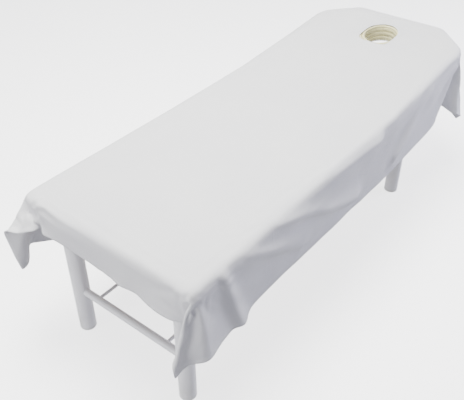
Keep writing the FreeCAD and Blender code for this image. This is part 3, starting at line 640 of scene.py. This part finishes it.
# ---- materials
class Finish:
    """A material in the making, with short calls that add nodes to it."""

    def __init__(self, name, **constants):
        self.material = bpy.data.materials.new(name)
        self.material.use_nodes = True
        self.nodes = self.material.node_tree.nodes
        self.links = self.material.node_tree.links
        self.shader = self.nodes["Principled BSDF"]
        for key, value in constants.items():
            self.shader.inputs[key.replace("_", " ")].default_value = value

    def place(self):
        return self.nodes.new("ShaderNodeTexCoord").outputs["Object"]

    def attribute(self, name, output):
        made = self.nodes.new("ShaderNodeAttribute")
        made.attribute_name = name
        return made.outputs[output]

    def split(self, vector):
        made = self.nodes.new("ShaderNodeSeparateXYZ")
        self.links.new(vector, made.inputs["Vector"])
        return made.outputs

    def stretched(self, vector, scale):
        made = self.nodes.new("ShaderNodeMapping")
        made.inputs["Scale"].default_value = scale
        self.links.new(vector, made.inputs["Vector"])
        return made.outputs["Vector"]

    def noise(self, vector, scale=1.0, detail=2.0, roughness=0.5):
        made = self.nodes.new("ShaderNodeTexNoise")
        self.links.new(vector, made.inputs["Vector"])
        made.inputs["Scale"].default_value = scale
        made.inputs["Detail"].default_value = detail
        made.inputs["Roughness"].default_value = roughness
        return made.outputs["Fac"]

    def cells(self, vector, scale):
        made = self.nodes.new("ShaderNodeTexVoronoi")
        self.links.new(vector, made.inputs["Vector"])
        made.inputs["Scale"].default_value = scale
        return made.outputs["Distance"]

    def math(self, operation, first, second=None):
        made = self.nodes.new("ShaderNodeMath")
        made.operation = operation
        for socket, value in zip(made.inputs, (first, second)):
            if isinstance(value, (int, float)):
                socket.default_value = value
            elif value is not None:
                self.links.new(value, socket)
        return made.outputs["Value"]

    def ramp(self, value, low, high):
        """0 at low, 1 at high, and held there beyond them."""
        made = self.nodes.new("ShaderNodeMapRange")
        self.links.new(value, made.inputs["Value"])
        made.inputs["From Min"].default_value = low
        made.inputs["From Max"].default_value = high
        return made.outputs["Result"]

    def waves(self, value, pitch):
        """A sine of value that repeats at each pitch."""
        return self.math("SINE", self.math("MULTIPLY", value, 2 * math.pi / pitch))

    def line(self, value, centre, half_width):
        """1 where value equals centre, falling to 0 at half_width from it."""
        return self.ramp(self.math("ABSOLUTE", self.math("SUBTRACT", value, centre)), half_width, 0.0)

    def colour(self, amount, first, second):
        """Colours the material from first, where amount is 0, to second, where it is 1."""
        made = self.nodes.new("ShaderNodeMix")
        made.data_type = "RGBA"
        self.links.new(amount, made.inputs["Factor"])
        made.inputs["A"].default_value = (*first, 1)
        made.inputs["B"].default_value = (*second, 1)
        self.links.new(made.outputs["Result"], self.shader.inputs["Base Color"])

    def roughness(self, value):
        self.links.new(value, self.shader.inputs["Roughness"])

    def bump(self, *layers):
        """Stacks (height, distance in metres, strength) layers on the shader's normal."""
        normal = None
        for height, distance, strength in layers:
            made = self.nodes.new("ShaderNodeBump")
            made.inputs["Distance"].default_value = distance
            made.inputs["Strength"].default_value = strength
            self.links.new(height, made.inputs["Height"])
            if normal is not None:
                self.links.new(normal, made.inputs["Normal"])
            normal = made.outputs["Normal"]
        self.links.new(normal, self.shader.inputs["Normal"])


def cloth_material():
    """A plain weave with slubs, faint shelf creases, and a doubled hem with its row of stitches."""
    made = Finish("white_cloth", Sheen_Weight=0.25, Sheen_Roughness=0.45)
    cloth = made.attribute("cloth_place", "Vector")
    from_hem = made.attribute("from_hem", "Fac")
    along, across = made.split(cloth)["X"], made.split(cloth)["Y"]
    band = made.ramp(from_hem, HEM + 0.0008, HEM - 0.0004)
    dashes = made.ramp(made.waves(made.math("ADD", along, across), STITCH_PITCH), -0.5, -0.2)
    stitch = made.math("MULTIPLY", made.line(from_hem, HEM - 0.002, 0.0008), dashes)
    creases = []
    for axis, spacing, start in ((along, 0.54, 0.49), (across, 0.30, 0.0)):
        gap = made.math("PINGPONG", made.math("SUBTRACT", axis, start), spacing / 2)
        creases.append(made.ramp(gap, 0.005, 0.0))
    blotch = made.ramp(made.noise(cloth, 3.5, 4.0), 0.3, 0.7)
    fleck = made.math("MULTIPLY", made.noise(made.stretched(cloth, (700, 700, 1))), 0.5)
    tone = made.math("SUBTRACT", made.math("ADD", blotch, fleck), made.math("MULTIPLY", stitch, 0.8))
    made.colour(made.math("DIVIDE", tone, 1.4), (0.815, 0.815, 0.840), (0.875, 0.875, 0.878))
    slub = made.noise(made.stretched(cloth, (60, 900, 1)))
    made.roughness(made.ramp(slub, -4.0, 1.3))
    ripple = made.noise(made.stretched(cloth, (4, 9, 1)), detail=3.0)
    crinkle = made.noise(cloth, 26.0, 3.0, 0.55)
    weave = made.math("MULTIPLY", made.waves(along, THREAD_PITCH), made.waves(across, THREAD_PITCH))
    made.bump((ripple, 0.012, 0.5), (crinkle, 0.0014, 0.5), (made.math("MAXIMUM", *creases), 0.0006, 0.7),
              (band, 0.0006, 0.8), (made.math("SUBTRACT", 1.0, stitch), 0.0004, 0.8), (slub, 0.0002, 0.4),
              (weave, 0.00012, 0.5))
    return made.material


def vinyl_material():
    made = Finish("cream_vinyl", Specular_IOR_Level=0.45)
    place = made.place()
    made.colour(made.ramp(made.noise(place, 18.0, 3.0), 0.3, 0.7), (0.82, 0.77, 0.42), (0.88, 0.84, 0.52))
    pores = made.noise(place, 240.0)
    made.roughness(made.ramp(pores, -0.6, 1.9))
    made.bump((pores, 0.0003, 0.3), (made.cells(place, 620.0), 0.00025, 0.5))
    return made.material


def coat_material():
    """White powder coat, scuffed near the floor."""
    made = Finish("white_powder_coat")
    place = made.place()
    scuff = made.ramp(made.noise(made.stretched(place, (9, 9, 3)), 2.0, 6.0), 0.48, 0.72)
    near_floor = made.ramp(made.split(place)["Z"], 0.16, 0.0)
    made.colour(made.math("MULTIPLY", near_floor, scuff), (0.87, 0.87, 0.885), (0.62, 0.61, 0.59))
    made.roughness(made.ramp(made.noise(place, 12.0, 3.0), -0.55, 1.7))
    made.bump((made.noise(place, 420.0), 0.00025, 0.35))
    return made.material


def zinc_material():
    made = Finish("zinc_plate", Roughness=0.32, Metallic=1.0)
    place = made.place()
    made.colour(made.ramp(made.cells(place, 260.0), 0.0, 0.8), (0.58, 0.59, 0.62), (0.70, 0.71, 0.72))
    made.bump((made.noise(made.stretched(place, (900, 60, 900))), 0.0001, 0.3))
    return made.material


def plastic_material():
    made = Finish("white_plastic", Roughness=0.5)
    place = made.place()
    made.colour(made.ramp(made.noise(place, 30.0, 4.0), 0.35, 0.75), (0.80, 0.80, 0.79), (0.74, 0.735, 0.72))
    made.bump((made.noise(place, 900.0, 1.0), 0.0002, 0.35))
    return made.material


PLY = 0.0028


def plywood_material():
    """Birch plywood: long grain on its faces, and its plies showing on its edges."""
    made = Finish("birch_plywood", Roughness=0.6)
    place = made.place()
    warp = made.noise(made.stretched(place, (1.2, 9, 1)), detail=3.0)
    grain = made.noise(made.stretched(place, (4, 120, 1)), detail=5.0)
    face = made.ramp(made.math("ADD", warp, grain), 0.75, 1.25)
    plies = made.ramp(made.waves(made.split(place)["Z"], PLY), -0.2, 0.2)
    coordinates = made.nodes.new("ShaderNodeTexCoord")
    upright = made.math("ABSOLUTE", made.split(coordinates.outputs["Normal"])["Z"])
    either = made.nodes.new("ShaderNodeMix")
    for socket, value in (("Factor", made.ramp(upright, 0.7, 0.3)), ("A", face), ("B", plies)):
        made.links.new(value, either.inputs[socket])
    made.colour(either.outputs["Result"], (0.48, 0.31, 0.16), (0.66, 0.48, 0.29))
    made.bump((grain, 0.0002, 0.4))
    return made.material


def rubber_material():
    made = Finish("grey_rubber", Roughness=0.8)
    speck = made.noise(made.place(), 400.0)
    made.colour(speck, (0.055, 0.055, 0.06), (0.09, 0.09, 0.095))
    made.bump((speck, 0.0002, 0.4))
    return made.material


def set_material(obj, material):
    obj.data.materials.clear()
    obj.data.materials.append(material)


# ---- the object
def finish_frame(finishes):
    """Gives every CAD part the detailed finish of its material slot."""
    for part in frame["record"]["subparts"]:
        set_material(frame["nodes"][part["node"]], finishes[part["material_slot"]])


def build():
    finishes = {"sheet_cloth": cloth_material(), "cream_vinyl": vinyl_material(),
                "white_steel": coat_material(), "zinc": zinc_material(),
                "white_plastic": plastic_material(), "plywood": plywood_material(),
                "grey_rubber": rubber_material()}
    finishes["foam"] = finishes["cream_vinyl"]
    finish_frame(finishes)
    seat, back, ring = make_seat_pad(), make_back_pad(), make_ring()
    cushions = ((seat, "base", 0.95, ("seat_foam", "seat_cover")),
                (back, "back_section", 0.95, ("back_foam", "back_cover")),
                (ring, "back_section", 0.9, ("face_cradle_cushion", "face_cradle_cover")))
    for obj, body, fill, nodes in cushions:
        set_material(obj, finishes["cream_vinyl"])
        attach(obj, body)
        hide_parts(*nodes)
    sheet = make_sheet()
    set_material(sheet, finishes["sheet_cloth"])
    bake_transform(sheet)
    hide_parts("sheet_lower", "sheet_upper")


# ---- studio
FLOOR_REACH = 9.0
FLOOR_POINTS = 96
SWEEP = 9.0
SWEEP_STEPS = 12
FLOOR_GLOW = 2.6


def floor_material():
    made = Finish("studio_floor", Roughness=0.9, Emission_Color=(1, 1, 1, 1), Emission_Strength=FLOOR_GLOW)
    made.colour(made.noise(made.place(), 1.5), (0.93, 0.93, 0.935), (0.95, 0.95, 0.95))
    return made.material


def make_floor():
    """A flat floor that turns up into a backdrop far from the bed."""
    profile = [(0.02, 0.0), (1.5, 0.0), (4.0, 0.0), (FLOOR_REACH, 0.0)]
    for k in range(1, SWEEP_STEPS + 1):
        turn = math.radians(90 * k / SWEEP_STEPS)
        profile.append((FLOOR_REACH + SWEEP * math.sin(turn), SWEEP * (1 - math.cos(turn))))
    turns = [2 * math.pi * k / FLOOR_POINTS for k in range(FLOOR_POINTS)]
    rings = [[Vector((r * math.cos(t), r * math.sin(t), z)) for t in turns] for r, z in profile]
    obj = mesh_from_rings("studio_floor", rings, close_last=False)
    obj.data.flip_normals()
    set_material(obj, floor_material())
    obj.visible_diffuse = False


def soft_light(name, place, target, size, power, colour):
    """A rectangular lamp at a place, turned to its target."""
    data = bpy.data.lights.new(name, "AREA")
    data.shape = "RECTANGLE"
    data.size, data.size_y = size
    data.energy = power
    data.color = colour
    obj = bpy.data.objects.new(name, data)
    obj.location = place
    obj.rotation_euler = (Vector(target) - Vector(place)).to_track_quat("-Z", "Y").to_euler()
    bpy.context.scene.collection.objects.link(obj)


def make_studio():
    world = bpy.data.worlds.new("studio")
    bpy.context.scene.world = world
    world.use_nodes = True
    sky = world.node_tree.nodes["Background"]
    sky.inputs["Color"].default_value = (0.85, 0.85, 1.0, 1)
    sky.inputs["Strength"].default_value = 0.39
    soft_light("overhead", place=(-0.3, 0.3, 3.4), target=(0, 0, 0.5), size=(2.0, 1.6), power=262,
               colour=(1.0, 1.0, 0.96))
    soft_light("head_side", place=(2.9, -1.9, 1.0), target=(0.6, -0.3, 0.45), size=(1.2, 0.9), power=94,
               colour=(0.80, 0.80, 1.0))
    soft_light("foot_fill", place=(-4.2, 0.6, 0.9), target=(-0.6, 0, 0.4), size=(1.8, 1.4), power=90,
               colour=(1.0, 1.0, 1.0))
    make_floor()


CAMERA_PLACE = (-1.7785, -1.1591, 1.8253)
CAMERA_YAW = math.radians(38.15)    # from straight along the bed, towards its far side
CAMERA_PITCH = math.radians(37.9)   # below level
CAMERA_LENS = 50.2


def make_camera():
    data = bpy.data.cameras.new("camera")
    data.sensor_fit = "HORIZONTAL"
    data.sensor_width = 36
    data.lens = CAMERA_LENS
    obj = bpy.data.objects.new("camera", data)
    obj.location = CAMERA_PLACE
    obj.rotation_euler = (math.pi / 2 - CAMERA_PITCH, 0, CAMERA_YAW - math.pi / 2)
    bpy.context.scene.collection.objects.link(obj)
    bpy.context.scene.camera = obj


make_camera()
make_studio()
build()
